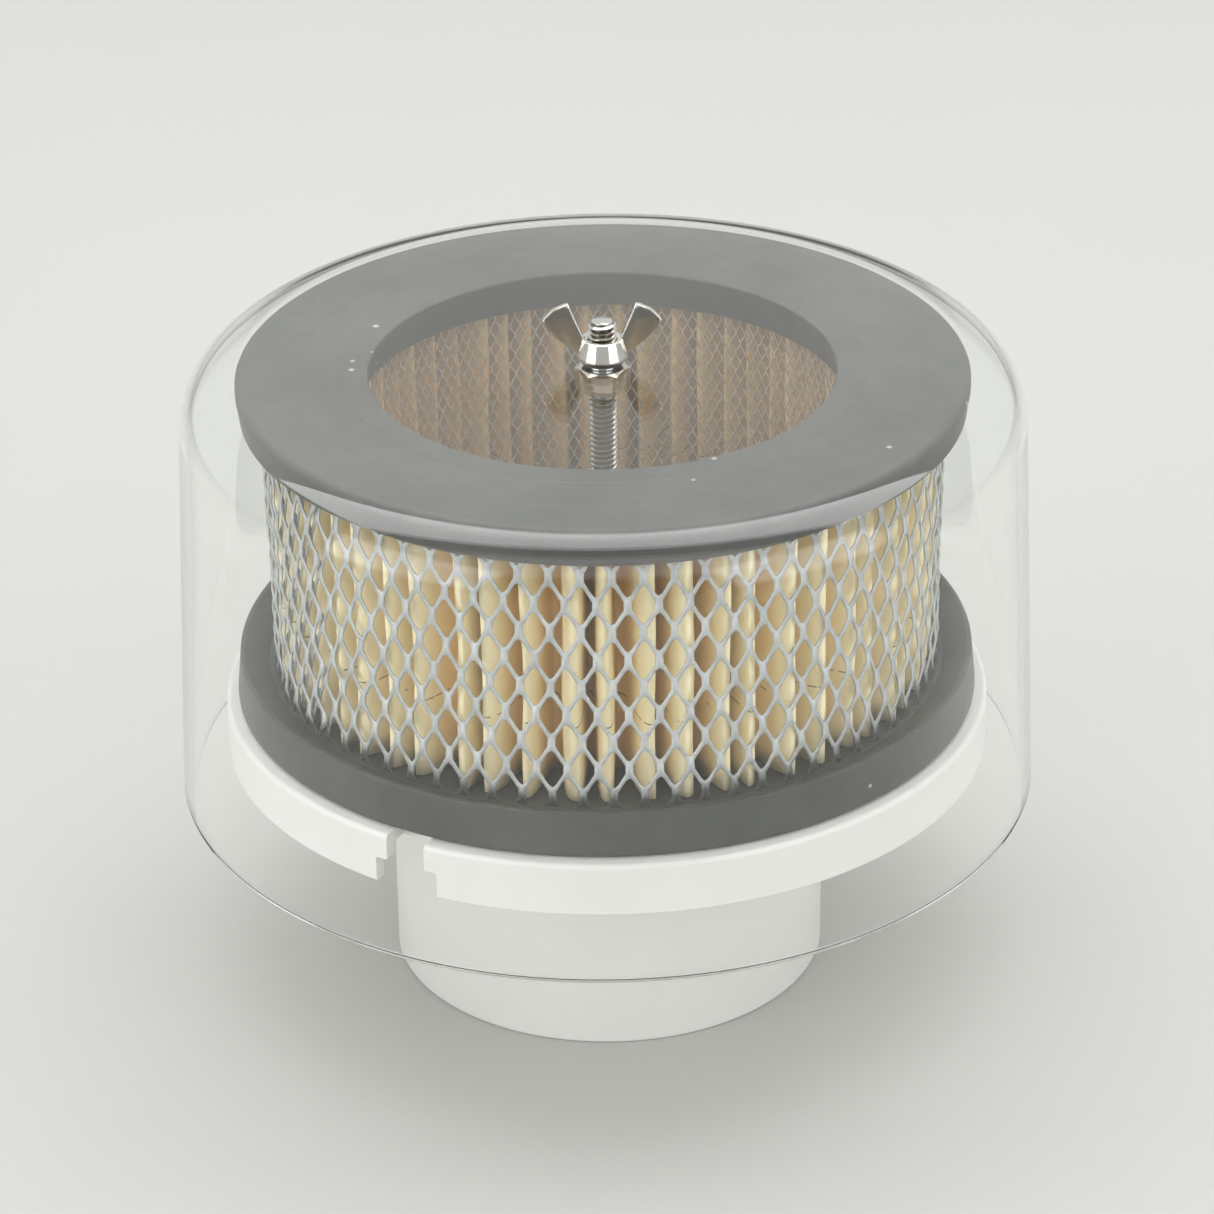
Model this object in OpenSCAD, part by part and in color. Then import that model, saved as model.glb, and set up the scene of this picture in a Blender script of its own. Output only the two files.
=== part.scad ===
// Air filter housing for a small engine intake.
// A clear bell cover hangs over a pleated paper element, which stands on a moulded
// base with a four inch neck. One long stud through the middle holds it together.
// Units are millimetres. Z = 0 is the lower end of the neck, on the axis.

/* [Base] */
// Outer diameter of the intake neck
neck_d = 101.6; // [96:0.1:104]
// Wall of the neck
neck_wall = 3.2; // [2.4:0.1:4]
// Height of the flange's top face above the end of the neck
flange_z = 71; // [68:0.5:76]
// Outer diameter of the flange and its hanging rim
rim_d = 177.6; // [175:0.1:179]
// Thickness of the flange plate and of the rim wall
rim_wall = 3; // [2:0.1:4]
// Height of the hanging rim, from the flange's top face down
rim_h = 12.6; // [11:0.1:15]
// Width of the notch in the upper half of the rim
notch_w_upper = 9.5; // [6:0.1:11]
// Width of the notch in the lower half of the rim
notch_w_lower = 15.5; // [12:0.5:18]
// Direction of the notch, in degrees from +X
notch_angle = 240; // [200:1:250]
// Outer diameter of the hub that holds the stud
hub_d = 22; // [20:0.5:24]
// Thickness of the four arms that carry the hub
arm_w = 4; // [3:0.5:6]

/* [Filter element] */
// Outer diameter of the end caps at their widest
cap_d = 172.4; // [170:0.2:174]
// Diameter of the hole through both end caps, at their outer faces
cap_hole_d = 105.8; // [100:0.2:108]
// Thickness of the lower end cap
cap_low_h = 11; // [9:0.1:13]
// Thickness of the upper end cap
cap_top_h = 9.5; // [8:0.1:12]
// Height of the whole element over its end caps
element_h = 77; // [70:0.1:80]
// Mean diameter of the outer screen
outer_screen_d = 154; // [150:0.5:156]
// Mean diameter of the inner screen
inner_screen_d = 115.4; // [114.8:0.2:118]
// Sheet thickness of both screens
screen_t = 0.5; // [0.4:0.1:0.6]
// Number of pleats in the paper
pleats = 56; // [40:1:64]

/* [Cover] */
// Outer diameter of the cover at its open lower edge
cover_d = 200; // [199:0.1:204]
// Wall of the cover
cover_wall = 2.4; // [2:0.1:3]
// Height of the cover from its lower edge to its top face
cover_h = 102.8; // [90:0.1:110]
// Draft of the cover's side, in degrees
cover_draft = 2.3; // [1:0.1:2.4]
// Outside radius where the side turns into the top
cover_corner_r = 14; // [10:0.5:15]

/* [Stud and nuts] */
// Thread diameter of the stud
stud_d = 6.35; // [6:0.05:6.4]
// Length of the stud
stud_l = 114.3; // [110:0.1:118]
// How far the stud stands above the cover
stud_proud = 10; // [9:0.1:13]
// Height of the hex nuts
nut_h = 5.5; // [4:0.1:6]
// Width of the hex nuts across their flats
nut_af = 11.1; // [10:0.1:12]
// Thickness of the rubber washer under the wing nut
seal_t = 0.8; // [0.6:0.1:1.5]
// Spread of the wing nut over its wings
wing_spread = 27; // [26:0.5:30]
// Height of the wing nut's tips above its seat
wing_h = 13.5; // [13:0.1:15]

/* [Hidden] */
$fn = 96;

// Levels on the axis
element_top = flange_z + element_h;
cover_top = element_top + cover_wall;
cover_low = cover_top - cover_h;
nut_seat = cover_top + seal_t;
stud_top = cover_top + stud_proud;
stud_low = stud_top - stud_l;
hub_low = flange_z - 14;
hub_top = flange_z - 2;
arm_h = 10;

// Base
rim_r = rim_d / 2;
rim_low = flange_z - rim_h;
rim_round = 1.2;
neck_r = neck_d / 2;
neck_bore = neck_r - neck_wall;
neck_edge = 0.8;
neck_fillet = 2;
hub_bore = 3.3;
notch_reach = 7;

// Element
cap_r = cap_d / 2;
cap_taper = 1.1;
top_cap_r = cap_r - 2.4;
top_cap_taper = 0.9;
cap_hole = cap_hole_d / 2;
cap_hole_flare = 2.7;
cap_hole_edge = 0.5;
cap_round = 1.4;
groove_depth = 3;
groove_in = inner_screen_d / 2 - screen_t / 2 - 0.3;
groove_out = outer_screen_d / 2 + screen_t / 2 + 0.3;
media_low = flange_z + cap_low_h - groove_depth + 0.2;
media_h = element_top - cap_top_h + groove_depth - 0.2 - media_low;
paper_reach = 2.2;
pleat_low = inner_screen_d / 2 + 0.8;
pleat_high = outer_screen_d / 2 - 0.8;

// Cover
cover_r = cover_d / 2;
corner_steps = 10;
cover_hole = 3.6;

// Stud and nuts
stud_r = stud_d / 2;
nut_bore = stud_r + 0.03;
washer_d = 16;
washer_t = 1.2;
wing_bore = stud_r + 0.05;
boss_r_low = 5.75;
boss_r_edge = 5.9;
boss_r_top = 4.6;
boss_edge_h = 0.9;
boss_h = 5.1;
wing_t = 1.8;
wing_steps = 8;
seal_r = 5.4;

// Points of a curve from a to c, pulled towards b
function bend(a, b, c, n) = [for (i = [0:n])
    let (t = i / n) a * (1 - t) * (1 - t) + b * 2 * t * (1 - t) + c * t * t];

// Points of an arc about a centre, from one angle to another
function arc(centre, r, from, to, n) = [for (i = [0:n])
    let (a = from + (to - from) * i / n) centre + r * [cos(a), sin(a)]];

// A flat ring with a square section
module ring(r_out, r_in, z, h) {
    translate([0, 0, z])
        difference() {
            cylinder(h = h, r = r_out);
            translate([0, 0, -1])
                cylinder(h = h + 2, r = r_in);
        }
}

// A hex nut with its upper and lower corners turned off
module hex_nut(z) {
    corner_r = nut_af / sqrt(3);
    turned = 0.8;
    translate([0, 0, z])
        difference() {
            intersection() {
                cylinder(h = nut_h, r = corner_r, $fn = 6);
                union() {
                    cylinder(h = turned, r1 = nut_af / 2, r2 = corner_r + 0.1);
                    translate([0, 0, turned])
                        cylinder(h = nut_h - 2 * turned, r = corner_r + 0.1);
                    translate([0, 0, nut_h - turned])
                        cylinder(h = turned, r1 = corner_r + 0.1, r2 = nut_af / 2);
                }
            }
            translate([0, 0, -1])
                cylinder(h = nut_h + 2, r = nut_bore);
        }
}

// Neck, flange plate and hanging rim, turned as one wall
module base_wall() {
    plate_low = flange_z - rim_wall;
    rotate_extrude()
        polygon(concat(
            [[neck_bore, neck_edge], [neck_bore + neck_edge, 0]],
            [[neck_r - neck_edge, 0], [neck_r, neck_edge]],
            arc([neck_r + neck_fillet, plate_low - neck_fillet], neck_fillet, 180, 90, 4),
            [[rim_r - rim_wall, plate_low], [rim_r - rim_wall, rim_low]],
            [[rim_r, rim_low]],
            arc([rim_r - rim_round, flange_z - rim_round], rim_round, 0, 90, 4),
            [[neck_bore, flange_z]]
        ));
}

// The stepped gap in the rim: narrow above, wide below
module rim_notch() {
    step_z = flange_z - rim_h / 2;
    rotate([0, 0, notch_angle])
        translate([rim_r - notch_reach, 0, 0]) {
            translate([0, -notch_w_upper / 2, step_z - 1])
                cube([notch_reach + 2, notch_w_upper, rim_h]);
            translate([0, -notch_w_lower / 2, rim_low - 1])
                cube([notch_reach + 2, notch_w_lower, step_z - rim_low + 1]);
        }
}

// Four arms from the neck to a drilled hub
module spider() {
    difference() {
        union() {
            translate([0, 0, hub_low])
                cylinder(h = hub_top - hub_low, r = hub_d / 2);
            for (a = [0:90:270])
                rotate([0, 0, a])
                    translate([0, -arm_w / 2, hub_low])
                        cube([neck_bore + neck_wall / 2, arm_w, arm_h]);
        }
        translate([0, 0, hub_low - 1])
            cylinder(h = hub_top - hub_low + 2, r = hub_bore);
    }
}

module base_body() {
    color("whitesmoke") {
        difference() {
            base_wall();
            rim_notch();
        }
        spider();
    }
}

module stud() {
    point = 0.6;
    color("silver")
        translate([0, 0, stud_low]) {
            cylinder(h = point, r1 = stud_r - point, r2 = stud_r);
            translate([0, 0, point])
                cylinder(h = stud_l - 2 * point, r = stud_r);
            translate([0, 0, stud_l - point])
                cylinder(h = point, r1 = stud_r, r2 = stud_r - point);
        }
}

module hub_washer_lower() {
    color("silver")
        ring(washer_d / 2, nut_bore, hub_low - washer_t, washer_t);
}

module hub_nut_lower() {
    color("silver")
        hex_nut(hub_low - washer_t - nut_h);
}

module hub_washer_upper() {
    color("silver")
        ring(washer_d / 2, nut_bore, hub_top, washer_t);
}

module hub_nut_upper() {
    color("silver")
        hex_nut(hub_top + washer_t);
}

// Sits just under the cover and stops it from being pulled down too far
module stop_nut() {
    color("silver")
        hex_nut(element_top - nut_h);
}

// A moulded cap with rounded edges and a groove that holds paper and screens
module end_cap(r_face, r_groove, h) {
    difference() {
        rotate_extrude()
            polygon(concat(
                [[cap_hole, cap_hole_edge], [cap_hole + cap_hole_edge, 0]],
                arc([r_face - cap_round, cap_round], cap_round, -90, 0, 4),
                arc([r_groove - cap_round, h - cap_round], cap_round, 0, 90, 4),
                [[cap_hole + cap_hole_flare, h]]
            ));
        ring(groove_out, groove_in, h - groove_depth, groove_depth + 1);
    }
}

module bottom_end_cap() {
    color("dimgray")
        translate([0, 0, flange_z])
            end_cap(cap_r, cap_r - cap_taper, cap_low_h);
}

module top_end_cap() {
    color("dimgray")
        translate([0, 0, element_top])
            mirror([0, 0, 1])
                end_cap(top_cap_r, top_cap_r - top_cap_taper, cap_top_h);
}

module inner_screen() {
    color("darkgray")
        ring((inner_screen_d + screen_t) / 2, (inner_screen_d - screen_t) / 2,
            media_low, media_h);
}

module outer_screen() {
    color("lightsteelblue")
        ring((outer_screen_d + screen_t) / 2, (outer_screen_d - screen_t) / 2,
            media_low, media_h);
}

// Paper folded to and fro between the two screens
module pleated_media() {
    half = 180 / pleats;
    color("wheat")
        translate([0, 0, media_low])
            linear_extrude(height = media_h)
                difference() {
                    polygon([for (i = [0:2 * pleats - 1])
                        (i % 2 == 0 ? pleat_high : pleat_low + paper_reach)
                            * [cos(i * half), sin(i * half)]]);
                    polygon([for (i = [0:2 * pleats - 1])
                        (i % 2 == 0 ? pleat_high - paper_reach : pleat_low)
                            * [cos(i * half), sin(i * half)]]);
                }
}

// Bell with a drafted side, a rounded corner and a flat top
module cover_shell() {
    tan_d = tan(cover_draft);
    side_top = cover_h - cover_corner_r;
    // radius of the corner's centre, so that the arc leaves the side smoothly
    corner_x = cover_r - side_top * tan_d
        - cover_corner_r / cos(cover_draft);
    inner_r = cover_corner_r - cover_wall;
    centre = [corner_x, cover_low + side_top];
    color([0.85, 0.9, 0.9, 0.35])
        rotate_extrude()
            polygon(concat(
                [[cover_r - cover_wall / cos(cover_draft), cover_low]],
                [[cover_r, cover_low]],
                arc(centre, cover_corner_r, cover_draft, 90, corner_steps),
                [[cover_hole, cover_top], [cover_hole, element_top]],
                arc(centre, inner_r, 90, cover_draft, corner_steps)
            ));
}

module nut_seal_washer() {
    color("black")
        ring(seal_r, wing_bore, cover_top, seal_t);
}

// One wing, standing up and out from the boss
module wing() {
    root_in = [3.6, 4.2];
    root_out = [4.6, 0.6];
    tip_in = [7.5, wing_h];
    tip_out = [wing_spread / 2, wing_h - 4.3];
    rotate([90, 0, 0])
        translate([0, 0, -wing_t / 2])
            linear_extrude(height = wing_t)
                polygon(concat(
                    bend(root_out, [10.5, 4.2], tip_out, wing_steps),
                    bend(tip_out, [11.3, wing_h - 0.6], tip_in, wing_steps),
                    bend(tip_in, [5.6, 8.4], root_in, wing_steps)
                ));
}

module wing_nut() {
    color("silver")
        translate([0, 0, nut_seat])
            difference() {
                union() {
                    cylinder(h = boss_edge_h, r1 = boss_r_low - 0.6, r2 = boss_r_edge);
                    translate([0, 0, boss_edge_h])
                        cylinder(h = boss_h - boss_edge_h, r1 = boss_r_edge, r2 = boss_r_top);
                    wing();
                    rotate([0, 0, 180])
                        wing();
                }
                translate([0, 0, -1])
                    cylinder(h = wing_h + 2, r = wing_bore);
            }
}

base_body();
stud();
hub_washer_lower();
hub_nut_lower();
hub_washer_upper();
hub_nut_upper();
stop_nut();
bottom_end_cap();
top_end_cap();
inner_screen();
outer_screen();
pleated_media();
cover_shell();
nut_seal_washer();
wing_nut();
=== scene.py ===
import math

import bmesh
import bpy
import numpy as np
from mathutils import Matrix, Vector


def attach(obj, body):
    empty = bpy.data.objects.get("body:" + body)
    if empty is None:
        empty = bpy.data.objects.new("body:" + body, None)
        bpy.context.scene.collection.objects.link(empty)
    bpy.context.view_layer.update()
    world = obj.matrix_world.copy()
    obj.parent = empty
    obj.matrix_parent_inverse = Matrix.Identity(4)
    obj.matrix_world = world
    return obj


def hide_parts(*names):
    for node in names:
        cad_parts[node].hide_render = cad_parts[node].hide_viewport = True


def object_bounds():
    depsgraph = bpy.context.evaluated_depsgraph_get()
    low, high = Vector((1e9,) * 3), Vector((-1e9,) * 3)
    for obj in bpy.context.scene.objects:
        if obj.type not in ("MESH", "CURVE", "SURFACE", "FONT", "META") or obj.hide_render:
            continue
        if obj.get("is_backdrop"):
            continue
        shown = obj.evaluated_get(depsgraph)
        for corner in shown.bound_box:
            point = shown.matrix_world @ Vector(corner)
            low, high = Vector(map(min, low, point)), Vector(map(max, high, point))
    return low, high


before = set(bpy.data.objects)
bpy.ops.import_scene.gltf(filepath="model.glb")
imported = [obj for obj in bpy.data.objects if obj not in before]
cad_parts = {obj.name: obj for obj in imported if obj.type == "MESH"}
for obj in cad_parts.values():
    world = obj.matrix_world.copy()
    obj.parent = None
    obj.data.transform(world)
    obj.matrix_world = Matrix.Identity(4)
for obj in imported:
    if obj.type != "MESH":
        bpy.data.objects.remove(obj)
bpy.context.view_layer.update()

mm = 0.001  # in metres
mergeDistance = 1e-6  # metres
full = 2 * math.pi  # a whole turn
print("frame loaded:", len(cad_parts), "nodes")


# helpers that make meshes: lengths are in millimetres

def addMesh(name, points, faces, creaseAngle=32.0, facesOut=True):
    # points is (n, 3), faces a list of index arrays with a row for each face. The signed volume, a sum of
    # a . (b x c) over the triangles a, b, c, tells whether a closed mesh has to be turned to face outwards
    points = np.asarray(points, float) * mm
    if facesOut:
        volume = 0.0
        for f in faces:
            a = points[f[:, 0]]
            for k in range(1, f.shape[1] - 1):
                volume += np.einsum("ij,ij->", a, np.cross(points[f[:, k]], points[f[:, k + 1]]))
        if volume < 0:
            faces = [f[:, ::-1] for f in faces]
    mesh = bpy.data.meshes.new(name)
    mesh.from_pydata(points.tolist(), [], [row for f in faces for row in f.tolist()])
    mesh.validate()
    mesh.shade_smooth()
    mesh.set_sharp_from_angle(angle=math.radians(creaseAngle))
    piece = bpy.data.objects.new(name, mesh)
    bpy.context.scene.collection.objects.link(piece)
    return piece


def evenNormals(piece):
    # large flat faces keep their own normal beside a rounded edge
    m = piece.modifiers.new("evenNormals", "WEIGHTED_NORMAL")
    m.keep_sharp = True
    m.weight = 90
    return piece


def gridFaces(nu, nv, wrapU=False, wrapV=False):
    # quads of a grid of nu by nv points stored row by row, joined end to end where a direction wraps
    i, j = np.meshgrid(np.arange(nu - (not wrapU)), np.arange(nv - (not wrapV)), indexing="ij")
    i, j = i.ravel(), j.ravel()
    i2, j2 = (i + 1) % nu, (j + 1) % nv
    return np.stack([i * nv + j, i2 * nv + j, i2 * nv + j2, i * nv + j2], 1)


def roundedLoop(corners, steps):
    # closed outline through corners (x, y, radius): each corner is cut by an arc that touches both its sides
    out = []
    count = len(corners)
    for k, (x, y, r) in enumerate(corners):
        p = np.array([x, y], float)
        before = np.array(corners[k - 1][:2], float) - p
        after = np.array(corners[(k + 1) % count][:2], float) - p
        if r <= 0:
            out.append(p[None])
            continue
        before, after = before / np.linalg.norm(before), after / np.linalg.norm(after)
        half = 0.5 * math.acos(np.clip(before @ after, -1, 1))
        centre = p + (before + after) / np.linalg.norm(before + after) * r / math.sin(half)
        start = p + before * r / math.tan(half) - centre
        end = p + after * r / math.tan(half) - centre
        a0 = math.atan2(start[1], start[0])
        sweep = (math.atan2(end[1], end[0]) - a0 + math.pi) % full - math.pi
        a = a0 + sweep * np.linspace(0, 1, steps + 1)
        out.append(centre + r * np.stack([np.cos(a), np.sin(a)], 1))
    return np.concatenate(out)


def turned(name, corners, steps, arcSteps=6, creaseAngle=32.0):
    # a ring: the rounded loop through corners (radius, height, rounding) is carried round the axis, so x and y
    # are its radius times the cosine and sine of the angle
    outline = roundedLoop(corners, arcSteps)
    a = np.arange(steps) * full / steps
    x, y = np.outer(np.cos(a), outline[:, 0]), np.outer(np.sin(a), outline[:, 0])
    points = np.stack([x, y, np.tile(outline[:, 1], (steps, 1))], -1).reshape(-1, 3)
    return addMesh(name, points, [gridFaces(steps, len(outline), True, True)], creaseAngle)


def extruded(name, outline, low, high, along="z"):
    # a flat outline pushed from low to high, with a lid at both ends: along y, the outline is (x, z)
    n = len(outline)
    flat = np.concatenate([np.c_[outline, np.full(n, low)], np.c_[outline, np.full(n, high)]])
    if along == "y":
        flat = flat[:, [0, 2, 1]]
    k = np.arange(n)
    sides = np.stack([k, (k + 1) % n, (k + 1) % n + n, k + n], 1)
    return addMesh(name, flat, [sides, k[::-1][None], (k + n)[None]])


def combined(name, solid, added, cut=(), creaseAngle=32.0):
    # joins and cuts closed solids, then keeps the result as one mesh
    for way, others in (("UNION", added), ("DIFFERENCE", cut)):
        for other in others:
            m = solid.modifiers.new(way.lower(), "BOOLEAN")
            m.operation, m.object, m.solver = way, other, "EXACT"
    bpy.context.view_layer.update()
    graph = bpy.context.evaluated_depsgraph_get()
    mesh = bpy.data.meshes.new_from_object(solid.evaluated_get(graph))
    mesh.name = name
    for o in (solid, *added, *cut):
        bpy.data.objects.remove(o)
    mesh.shade_smooth()
    mesh.set_sharp_from_angle(angle=math.radians(creaseAngle))
    piece = bpy.data.objects.new(name, mesh)
    bpy.context.scene.collection.objects.link(piece)
    return piece


def welded(piece, creaseAngle=40.0):
    # merges points that fell together and drops what has no area
    bm = bmesh.new()
    bm.from_mesh(piece.data)
    bmesh.ops.remove_doubles(bm, verts=bm.verts, dist=mergeDistance)
    bmesh.ops.dissolve_degenerate(bm, edges=bm.edges, dist=mergeDistance / 10)
    bmesh.ops.recalc_face_normals(bm, faces=bm.faces)
    bm.to_mesh(piece.data)
    bm.free()
    piece.data.set_sharp_from_angle(angle=math.radians(creaseAngle))
    return piece


def place(piece, body, material, cadNode):
    # gives a finished piece its material and the body that it rides on, and hides the CAD node that it stands
    # for
    piece.data.materials.clear()
    piece.data.materials.append(material)
    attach(piece, body)
    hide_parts(cadNode)
    print("made", piece.name, len(piece.data.polygons), "faces")
    return piece


camera = {
    "lens": 135.46,  # millimetres, as is the sensor
    "sensor": 36.0,
    "clip": (0.05, 50.0),
    "place": (0.0, -0.9413, 0.5819),
    "tilt": 62.29,  # degrees, up from straight down
    "turn": -0.02,
    "roll": -0.71,
}
camData = bpy.data.cameras.new("camera")
camData.lens, camData.sensor_width = camera["lens"], camera["sensor"]
camData.clip_start, camData.clip_end = camera["clip"]
cam = bpy.data.objects.new("camera", camData)
cam.matrix_world = (
    Matrix.Translation(camera["place"])
    @ Matrix.Rotation(math.radians(camera["turn"]), 4, "Z")
    @ Matrix.Rotation(math.radians(camera["tilt"]), 4, "X")
    @ Matrix.Rotation(math.radians(camera["roll"]), 4, "Z")
)
bpy.context.scene.collection.objects.link(cam)
bpy.context.scene.camera = cam
bpy.context.scene.view_settings.view_transform = "Standard"
print("camera ready")


# helpers that make materials

def newGroup(name, inputs, outputs):
    tree = bpy.data.node_groups.new(name, "ShaderNodeTree")
    for label, kind, value in inputs:
        s = tree.interface.new_socket(name=label, in_out="INPUT", socket_type=kind)
        if value is not None:
            s.default_value = value
    for label, kind in outputs:
        tree.interface.new_socket(name=label, in_out="OUTPUT", socket_type=kind)
    return tree, tree.nodes.new("NodeGroupInput"), tree.nodes.new("NodeGroupOutput")


def node(tree, kind, **values):
    # makes a node: plain names set its properties, names ending in _ set the input of that name
    n = tree.nodes.new(kind)
    for key, value in values.items():
        if key.endswith("_"):
            n.inputs[key[:-1].replace("_", " ")].default_value = value
        else:
            setattr(n, key, value)
    return n


def mathNode(tree, operation, a, b=None):
    # a and b are each a number or a socket, as in mixColor
    n = node(tree, "ShaderNodeMath", operation=operation)
    for k, v in enumerate((a, b)):
        if v is None:
            continue
        if isinstance(v, (int, float)):
            n.inputs[k].default_value = v
        else:
            tree.links.new(v, n.inputs[k])
    return n.outputs[0]


def mixColor(tree, factor, a, b):
    n = node(tree, "ShaderNodeMix", data_type="RGBA")
    for socket, v in ((n.inputs[0], factor), (n.inputs[6], a), (n.inputs[7], b)):
        if isinstance(v, (int, float, tuple)):
            socket.default_value = v
        else:
            tree.links.new(v, socket)
    return n.outputs[2]


def makeGrainGroup():
    # fine bumps of a moulded or drawn surface: noise at the given scale, as a normal
    tree, g, out = newGroup("mouldGrain", [
        ("Vector", "NodeSocketVector", None), ("Scale", "NodeSocketFloat", 900.0),
        ("Depth", "NodeSocketFloat", 0.00002)], [("Normal", "NodeSocketVector")])
    noise = node(tree, "ShaderNodeTexNoise", Detail_=3.0, Roughness_=0.6)
    bump = node(tree, "ShaderNodeBump", Strength_=1.0)
    link = tree.links.new
    link(g.outputs["Vector"], noise.inputs["Vector"])
    link(g.outputs["Scale"], noise.inputs["Scale"])
    link(mathNode(tree, "MULTIPLY", noise.outputs["Fac"], g.outputs["Depth"]), bump.inputs["Height"])
    bump.inputs["Distance"].default_value = 1.0
    link(bump.outputs["Normal"], out.inputs["Normal"])
    return tree


def makeDriftGroup():
    # slow change between two colours, with a finer mottle on top
    tree, g, out = newGroup("toneDrift", [
        ("Vector", "NodeSocketVector", None), ("Scale", "NodeSocketFloat", 40.0),
        ("Color A", "NodeSocketColor", (1, 1, 1, 1)),
        ("Color B", "NodeSocketColor", (0.5, 0.5, 0.5, 1))],
        [("Color", "NodeSocketColor"), ("Value", "NodeSocketFloat")])
    link = tree.links.new
    slow = node(tree, "ShaderNodeTexNoise", Detail_=2.0)
    fine = node(tree, "ShaderNodeTexNoise", Detail_=4.0)
    link(g.outputs["Vector"], slow.inputs["Vector"])
    link(g.outputs["Vector"], fine.inputs["Vector"])
    link(g.outputs["Scale"], slow.inputs["Scale"])
    link(mathNode(tree, "MULTIPLY", g.outputs["Scale"], 9.0), fine.inputs["Scale"])
    both = mathNode(tree, "ADD", mathNode(tree, "MULTIPLY", slow.outputs["Fac"], 0.7),
                    mathNode(tree, "MULTIPLY", fine.outputs["Fac"], 0.3))
    spread = node(tree, "ShaderNodeMapRange", From_Min_=0.35, From_Max_=0.65)
    link(both, spread.inputs["Value"])
    color = mixColor(tree, spread.outputs["Result"], g.outputs["Color A"], g.outputs["Color B"])
    link(color, out.inputs["Color"])
    link(spread.outputs["Result"], out.inputs["Value"])
    return tree


def makeDustGroup():
    # sparse specks: cells whose own random value is low enough, kept near the cell's centre
    tree, g, out = newGroup("dustSpecks", [
        ("Vector", "NodeSocketVector", None), ("Scale", "NodeSocketFloat", 300.0),
        ("Amount", "NodeSocketFloat", 0.05), ("Size", "NodeSocketFloat", 0.18)],
        [("Mask", "NodeSocketFloat")])
    link = tree.links.new
    cells = node(tree, "ShaderNodeTexVoronoi")
    link(g.outputs["Vector"], cells.inputs["Vector"])
    link(g.outputs["Scale"], cells.inputs["Scale"])
    pick = node(tree, "ShaderNodeSeparateColor")
    link(cells.outputs["Color"], pick.inputs[0])
    chosen = mathNode(tree, "LESS_THAN", pick.outputs[0], g.outputs["Amount"])
    reach = mathNode(tree, "MULTIPLY", pick.outputs[1], g.outputs["Size"])
    near = mathNode(tree, "LESS_THAN", cells.outputs["Distance"], reach)
    link(mathNode(tree, "MULTIPLY", chosen, near), out.inputs["Mask"])
    return tree


grainGroup, driftGroup, dustGroup = makeGrainGroup(), makeDriftGroup(), makeDustGroup()
print("shader groups ready")


def placeGroup(tree, group, vector, **values):
    n = tree.nodes.new("ShaderNodeGroup")
    n.node_tree = group
    tree.links.new(vector, n.inputs["Vector"])
    for key, value in values.items():
        n.inputs[key.replace("_", " ")].default_value = value
    return n


def newMaterial(name, **shaderValues):
    material = bpy.data.materials.new(name)
    material.use_nodes = True
    tree = material.node_tree
    shader = tree.nodes["Principled BSDF"]
    for key, value in shaderValues.items():
        shader.inputs[key.replace("_", " ")].default_value = value
    where = tree.nodes.new("ShaderNodeTexCoord").outputs["Object"]
    return material, tree, shader, where


def fromAxis(tree, where, inner, outer):
    # runs from 0 at the inner radius to 1 at the outer one
    flat = node(tree, "ShaderNodeVectorMath", operation="MULTIPLY")
    flat.inputs[1].default_value = (1, 1, 0)
    tree.links.new(where, flat.inputs[0])
    away = node(tree, "ShaderNodeVectorMath", operation="LENGTH")
    tree.links.new(flat.outputs[0], away.inputs[0])
    spread = node(tree, "ShaderNodeMapRange", From_Min_=inner * mm, From_Max_=outer * mm)
    tree.links.new(away.outputs["Value"], spread.inputs["Value"])
    return spread.outputs["Result"]


def plainFinish(name, look):
    # one recipe for the opaque finishes: two drifting tones, a roughness that varies and fine grain, and where
    # look has them dust, a smear at the foot, and painted shade darkening the thread roots
    material, tree, shader, where = newMaterial(name, Metallic=look["metal"])
    link = tree.links.new
    tone = placeGroup(tree, driftGroup, where, Scale=look["driftScale"],
                      Color_A=(*look["colorA"], 1), Color_B=(*look["colorB"], 1))
    color = tone.outputs["Color"]
    if look.get("dust"):
        specks = placeGroup(tree, dustGroup, where, Scale=look["dustScale"], Amount=look["dust"],
                            Size=look["dustSize"])
        dusty = mathNode(tree, "MULTIPLY", specks.outputs["Mask"], look["dustCover"])
        color = mixColor(tree, dusty, color, (*look["dustColor"], 1))
    if look.get("smear"):
        # the foot of the mesh is dull with the dark polyurethane that crept up it
        height = tree.nodes.new("ShaderNodeSeparateXYZ")
        link(where, height.inputs[0])
        uneven = mathNode(tree, "MULTIPLY", tone.outputs["Value"], -look["smearDrift"] * mm)
        creep = mathNode(tree, "ADD", height.outputs["Z"], uneven)
        smearLow, smearHigh = look["smear"]
        clean = node(tree, "ShaderNodeMapRange", From_Min_=smearLow * mm, From_Max_=smearHigh * mm)
        link(creep, clean.inputs["Value"])
        color = mixColor(tree, clean.outputs["Result"], (*look["smearTone"], 1), color)
    if look.get("root"):
        # painted shade: darker down in a thread, by the distance from the axis, but not on the end face
        split = tree.nodes.new("ShaderNodeSeparateXYZ")
        link(where, split.inputs[0])
        endFace = mathNode(tree, "GREATER_THAN", split.outputs["Z"], (look["endZ"] - 0.05) * mm)
        bright = mathNode(tree, "MAXIMUM", fromAxis(tree, where, *look["root"]), endFace)
        color = mixColor(tree, bright, (*look["rootShadeTone"], 1), color)
    link(color, shader.inputs["Base Color"])
    rough = node(tree, "ShaderNodeMapRange", To_Min_=look["rough"][0], To_Max_=look["rough"][1])
    link(tone.outputs["Value"], rough.inputs["Value"])
    link(rough.outputs["Result"], shader.inputs["Roughness"])
    grain = placeGroup(tree, grainGroup, where, Scale=look["grainScale"], Depth=look["grainDepth"])
    link(grain.outputs["Normal"], shader.inputs["Normal"])
    return material


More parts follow.
